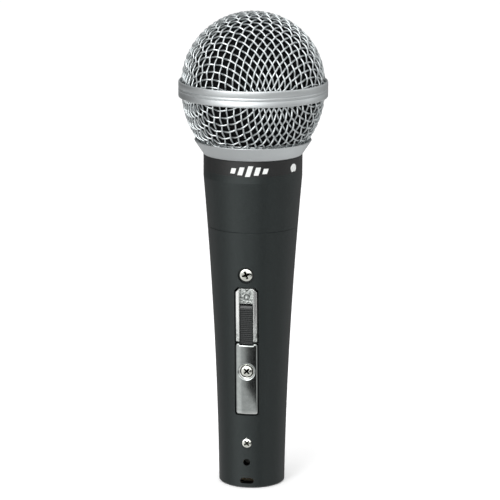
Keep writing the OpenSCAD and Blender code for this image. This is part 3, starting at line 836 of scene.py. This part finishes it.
def make_frame():
    """The switch frame: two rails, and between them a pebbled floor with a window for the stem and, at
    its upper end, a ring and an arrow."""
    place = Front(SWITCH_Z)
    half = radius("switch_frame") - 0.05 * MM
    rail_round, slot, wall_w, end_slope = 0.22 * MM, SLOT_W / 2, 0.1 * MM, 0.27 * MM
    pebble, pebble_h, clearance = 2600, 0.1 * MM, 0.06 * MM
    ring_y, ring_w, arrow_w, groove = 6.1 * MM, 0.17 * MM, 0.13 * MM, 0.16 * MM
    dots, dot_r, dot_h = ((-0.45 * MM, 4.5 * MM), (0.45 * MM, 4.45 * MM)), 0.18 * MM, 0.1 * MM

    def inset(y):
        """How much the cut corners narrow the frame at a height."""
        return max(FRAME_CORNER - (FRAME_HIGH - y), 0)

    def squeeze(x, y):
        """Takes the rails, but not the slot, in to the cut corners."""
        out = max(abs(x) - slot, 0) * (1 - inset(y) / (half - slot))
        return math.copysign(min(abs(x), slot) + out, x)

    def floor(x, y):
        h = FLOOR + pebble_h * noise.fractal(Vector((x, y, 0)) * pebble, 0.8, 2.2, 3)
        r = math.hypot(x, y - ring_y)
        h -= groove * math.exp(-(((r - RING_R) / ring_w) ** 2))
        for dx, dy in dots:
            h += dot_h * math.exp(-(((x - dx) ** 2 + (y - dy) ** 2) / dot_r**2))
        return min(h, SLIDER_BACK - clearance)

    def height(x, y):
        edge = min(half - inset(y) - abs(x), y - FRAME_LOW, FRAME_HIGH - y)
        rail = place.skin(x, y) + TRIM_PROUD - round_edge(edge, rail_round)
        if abs(x) > slot:
            return rail - round_edge(abs(x) - slot, rail_round)
        wall = step_up(slot - abs(x), 0, wall_w)
        end = step_up(FRAME_HIGH - y, 0, end_slope)
        low = floor(x, y)
        arm = (y - ARROW_Y - ARROW_SLOPE * abs(x)) / arrow_w
        low -= groove * math.exp(-(arm * arm)) * step_up(ARROW_HALF - abs(x), 0, 0.2 * MM)
        return rail + (low - rail) * wall * end

    def in_window(i, j):
        near = 0.001 * MM
        along = WINDOW[0] - near < up[i] < WINDOW[1] - near
        return along and -slot - near < across[j] < slot - near

    across = np.concatenate([
        spaced(-half, -slot, 0.12 * MM, 0.04 * MM, 0.3 * MM),
        spaced(-slot, slot, 0.09 * MM, 0.03 * MM, 0.15 * MM)[1:-1],
        spaced(slot, half, 0.12 * MM, 0.04 * MM, 0.3 * MM),
    ])
    up = np.concatenate([
        spaced(FRAME_LOW, WINDOW[0], 0.12 * MM, 0.05 * MM, 0.3 * MM),
        spaced(*WINDOW, 0.4 * MM, 0.1 * MM, 0.3 * MM)[1:-1],
        spaced(WINDOW[1], FRAME_HIGH, 0.09 * MM, 0.05 * MM, 0.3 * MM),
    ])
    flat = [[(squeeze(x, y), y) for x in across] for y in up]
    face = [[place.at(x, y, height(x, y)) for x, y in row] for row in flat]
    back = [[place.at(x, y, FRAME_BACK) for x, y in row] for row in flat]
    shell = slab("switch_frame_shell", face, back, in_window)
    piece(shell, "root", "frame_metal", FRAME_METAL.material, "switch_frame")


def make_slider():
    """The ribbed slider, with a sloping ledge at its upper end."""
    place = Front(SWITCH_Z)
    half = radius("switch_slider")
    edge_r, rib_start, rib_full, crease = 0.2 * MM, 0.1 * MM, 0.3 * MM, 0.05 * MM
    ribs_low, ribs_high = SLIDER_LOW + edge_r, SLIDER_HIGH - LEDGE_L - edge_r
    pitch = (ribs_high - ribs_low) / RIBS
    rib_h, ledge_drop = 0.06 * MM, 0.37 * MM

    def height(x, y):
        edge = min(half - abs(x), y - SLIDER_LOW)
        h = SLIDER_FACE - round_edge(edge, edge_r)
        if ribs_low < y < ribs_high and edge > rib_start:
            groove = math.cos(math.pi * (y - ribs_low) / pitch) ** 2
            h -= rib_h * groove * step_up(edge, rib_start, rib_full)
        down = soft(y - (SLIDER_HIGH - LEDGE_L), crease)
        return h - ledge_drop / LEDGE_L * down

    across = spaced(-half, half, 0.3 * MM, 0.04 * MM, 0.3 * MM)
    up = np.arange(SLIDER_LOW, SLIDER_HIGH + 0.01 * MM, 0.06 * MM)
    face = [[place.at(x, y, height(x, y)) for x in across] for y in up]
    back = [[place.at(x, y, SLIDER_BACK) for x in across] for y in up]
    cap = slab("slider_cap", face, back)
    piece(cap, "slider", "slider_plastic", SLIDER.material, "switch_slider")


def make_screw(node, turn):
    """A pan head with a cross recess, on its shank. The turn is in degrees."""
    z, seat, head_r, head_h, shank_r, shank_l = (v * MM for v in SCREWS[node])
    place = Front(z)
    arm_half, arm_l, recess, crown = 0.15 * head_r, 0.64 * head_r, 0.5 * head_r, 0.25 * MM
    wall_in, wall_out, arm_end = -0.03 * head_r, 0.09 * head_r, 0.25 * MM
    edge_r, chamfer, segments, rings = 0.2 * MM, 0.05 * MM, 96, 30
    cos, sin = math.cos(math.radians(turn)), math.sin(math.radians(turn))

    def height(r, x, y):
        x, y = x * cos + y * sin, y * cos - x * sin
        arms = max(
            step_up(arm_half - abs(a), wall_in, wall_out) * step_up(arm_l - abs(b), 0, arm_end)
            for a, b in ((x, y), (y, x))
        )
        return head_h - crown * (r / head_r) ** 2 - round_edge(head_r - r, edge_r) - recess * arms

    def circle(r):
        angles = (2 * math.pi * k / segments for k in range(segments))
        return [(r * math.cos(a), r * math.sin(a)) for a in angles]

    verts, loops = [place.at(0, 0, height(0, 0, 0) - seat)], []
    for r in (head_r * k / rings for k in range(1, rings + 1)):
        loops.append([(x, y, height(r, x, y)) for x, y in circle(r)])
    for r, h in ((head_r, chamfer), (head_r - chamfer, 0), (shank_r, 0), (shank_r, -shank_l)):
        loops.append([(x, y, h) for x, y in circle(r)])
    for loop in loops:
        verts += [place.at(x, y, h - seat) for x, y, h in loop]
    faces = [(0, 1 + k, 1 + (k + 1) % segments) for k in range(segments)]
    for i in range(len(loops) - 1):
        for k in range(segments):
            a, b = 1 + i * segments + k, 1 + i * segments + (k + 1) % segments
            faces.append((a, a + segments, b + segments, b))
    last = 1 + (len(loops) - 1) * segments
    faces.append(tuple(range(last + segments - 1, last - 1, -1)))
    screw = add_mesh(node + "_head", verts, faces)
    screw.data.set_sharp_from_angle(angle=math.radians(40))
    piece(screw, "root", "screw_metal", NICKEL.material, node)


make_plate()
make_frame()
make_slider()
make_screw("lock_plate_screw", 45)
make_screw("bracket_screw", 20)
make_screw("connector_screw", 40)


# ---------------------------------------------------------------- printed marks

def print_mark(name, rows):
    """A thin white print on the smooth band. Each row is a list of (distance round it, height)."""
    def wrap(s, z, out):
        a = s / NECK_R
        return ((NECK_R + out) * math.sin(a), -(NECK_R + out) * math.cos(a), z)

    ink_t = 0.025 * MM
    face, back = ([[wrap(s, z, out) for s, z in row] for row in rows] for out in (ink_t, 0))
    piece(slab(name, face, back), "root", None, INK.material)


def make_level_mark():
    """A generic level meter: slanted bars of rising and falling height."""
    middle, low, high, wide = math.radians(4.5) * NECK_R, 110.95 * MM, 114.6 * MM, 13.9 * MM
    lean, filled, heights = 0.32, 0.6, (0.5, 0.75, 1.0, 0.75, 0.5)
    pitch = wide / len(heights)
    for k, share in enumerate(heights):
        start, bar_w = middle - wide / 2 + k * pitch, pitch * filled
        reach = share * (high - low) / 2
        rows = [
            [(start + bar_w * u + (z - low) * lean, z) for u in np.linspace(0, 1, 6)]
            for z in np.linspace((low + high) / 2 - reach, (low + high) / 2 + reach, 6)
        ]
        print_mark(f"level_bar_{k + 1}", rows)


def make_pickup_mark():
    """The usual heart-shaped sign of a cardioid pickup pattern, with its notch at the bottom."""
    middle, notch_z, size, narrow = math.radians(63) * NECK_R, 112.75 * MM - 0.95 * MM, 1.22 * MM, 0.98
    rows = []
    for a in np.linspace(0, 2 * math.pi, 49):
        reach = size * (1 + math.sin(a))
        rows.append([
            (middle + t * reach * math.cos(a) * narrow, notch_z + t * reach * math.sin(a))
            for t in np.linspace(0.03, 1, 5)
        ])
    print_mark("pickup_mark", rows)


make_level_mark()
make_pickup_mark()


# ---------------------------------------------------------------- studio

FLOOR_GLOW = 0.21
MATT_LIGHT = 0.62
CAMERA_WHITE = 0.985
MIDDLE = Vector((0, 0, 0.09))

# What gloss reflects, as (azimuth in degrees, level). 0 is in front of the microphone, 90 to its right
WALL_LEVELS = (
    (-90, 0.1), (-68, 0.45), (-50, 1.0), (-30, 0.95), (-20, 0.4), (-8, 0.03), (4, 0.015), (40, 0.01),
    (50, 0.6), (66, 0.42), (95, 0.38), (130, 0.42), (165, 0.2), (195, 0.3), (225, 0.12), (250, 0.04),
    (270, 0.1),
)
PANEL_LEVELS = ((-50, 0.0), (-20, 1.9), (8, 2.5), (36, 0.0))
CEILING_LEVELS = ((-90, 0.35), (-40, 1.0), (10, 1.1), (60, 0.9), (110, 0.6), (180, 0.25), (270, 0.35))
# The same as (height, level). Height is 0 straight down, 0.5 level and 1 straight up
WALL_HEIGHTS = ((0.0, 0.0), (0.2, 1.0), (0.5, 1.0), (0.6, 0.3), (1.0, 0.0))
PANEL_HEIGHTS = ((0.4, 0.0), (0.45, 1.0), (0.62, 1.0), (0.7, 0.0))
CEILING_HEIGHTS = ((0.5, 0.0), (0.6, 0.8), (0.9, 1.0))
# The ground fills the directions whose z, plus the slant times x, is past the edge. Its level is for
# straight ahead, and rises to the right
GROUND_SLANT = 0.14
GROUND_EDGE = (-0.358, -0.378)
GROUND_LEVEL, GROUND_RISE = 0.68, 0.18


def floor_finish():
    """Plain and pale, with a slight glow that stops short of the socket that stands over it."""
    f = Finish("floor", 0.7)
    x, y, _ = f.apart()
    outside = f.between(f.length(x, y), BASE_R - 2 * MM, BASE_R)
    f.feed(f.shader.inputs["Emission Strength"], f.sums("MULTIPLY", outside, FLOOR_GLOW))
    return f.set(Base_Color=srgb(250, 250, 250), Emission_Color=(1, 1, 1, 1))


def make_floor():
    """A pale floor that curves up into a backdrop behind the microphone."""
    half, front, back, bend, high, sunk = 4.0, -4.0, 2.2, 0.8, 4.0, 0.0001
    line = [(front, 0.0), (back - bend, 0.0)]
    line += [
        (back - bend + bend * math.sin(a), bend - bend * math.cos(a))
        for a in np.radians(np.linspace(7.5, 90, 12))
    ]
    line.append((back, high))
    verts = [(x, y, z - sunk) for y, z in line for x in (-half, half)]
    faces = [(2 * k, 2 * k + 1, 2 * k + 3, 2 * k + 2) for k in range(len(line) - 1)]
    floor = add_mesh("floor", verts, faces)
    floor.data.materials.append(floor_finish().material)
    floor.visible_glossy = False


def make_light(name, azimuth, elevation, distance, size, power):
    """A soft panel that faces the microphone's middle. Azimuth 0 is in front, 90 to its right."""
    data = bpy.data.lights.new(name, "AREA")
    data.shape = "RECTANGLE"
    data.size, data.size_y = size
    data.energy = power
    light = bpy.data.objects.new(name, data)
    az, el = math.radians(azimuth), math.radians(elevation)
    aim = Vector((math.sin(az) * math.cos(el), -math.cos(az) * math.cos(el), math.sin(el)))
    light.location = aim * distance + MIDDLE
    light.rotation_euler = (-aim).to_track_quat("-Z", "Y").to_euler()
    SCENE.collection.objects.link(light)


def make_world():
    """Even white for the camera and for matt light. What gloss reflects is a room: walls that are
    brighter to the left and far right and dark between, with a bright panel in front, and pale ground
    and ceiling."""
    world = bpy.data.worlds.new("studio")
    SCENE.world = world
    world.use_nodes = True
    w = Nodes(world.node_tree)
    way = w.node("TexCoord", {}).outputs["Generated"]
    turn = w.node("TexGradient", {"Vector": way}, gradient_type="RADIAL").outputs["Fac"]
    x, _, z = w.node("SeparateXYZ", {0: way}).outputs
    height = w.between(z, -1.0, 1.0)

    def glow(levels, heights):
        """A light whose level changes both round the room and with height."""
        around = w.ramp(turn, *((az / 360 + 0.25, level) for az, level in levels))
        return w.sums("MULTIPLY", around, w.ramp(height, *heights))

    walls, panel = glow(WALL_LEVELS, WALL_HEIGHTS), glow(PANEL_LEVELS, PANEL_HEIGHTS)
    ceiling = glow(CEILING_LEVELS, CEILING_HEIGHTS)
    below = w.between(w.sums("MULTIPLY_ADD", x, GROUND_SLANT, z), *GROUND_EDGE)
    ground = w.sums("MULTIPLY", below, w.sums("MULTIPLY_ADD", x, GROUND_RISE, GROUND_LEVEL))
    room = w.sums("ADD", w.sums("MAXIMUM", w.sums("ADD", walls, panel), ground), ceiling)
    glossy, matt, seen = (
        w.node("Background", {"Color": (1.0, 1.0, 1.0, 1.0), "Strength": level}).outputs[0]
        for level in (room, MATT_LIGHT, CAMERA_WHITE)
    )
    path = w.node("LightPath", {}).outputs
    lit = w.node("MixShader", {0: path["Is Glossy Ray"], 1: matt, 2: glossy}).outputs[0]
    all_rays = w.node("MixShader", {0: path["Is Camera Ray"], 1: lit, 2: seen}).outputs[0]
    w.feed(w.tree.nodes["World Output"].inputs["Surface"], all_rays)


make_floor()
make_world()
make_light("key", -20, 30, 1.5, (0.55, 0.55), 8)
make_light("fill", 100, 12, 1.3, (0.5, 0.8), 1)
make_light("top", -20, 80, 1.6, (1.2, 1.2), 9)
SCENE.view_settings.view_transform = "Standard"
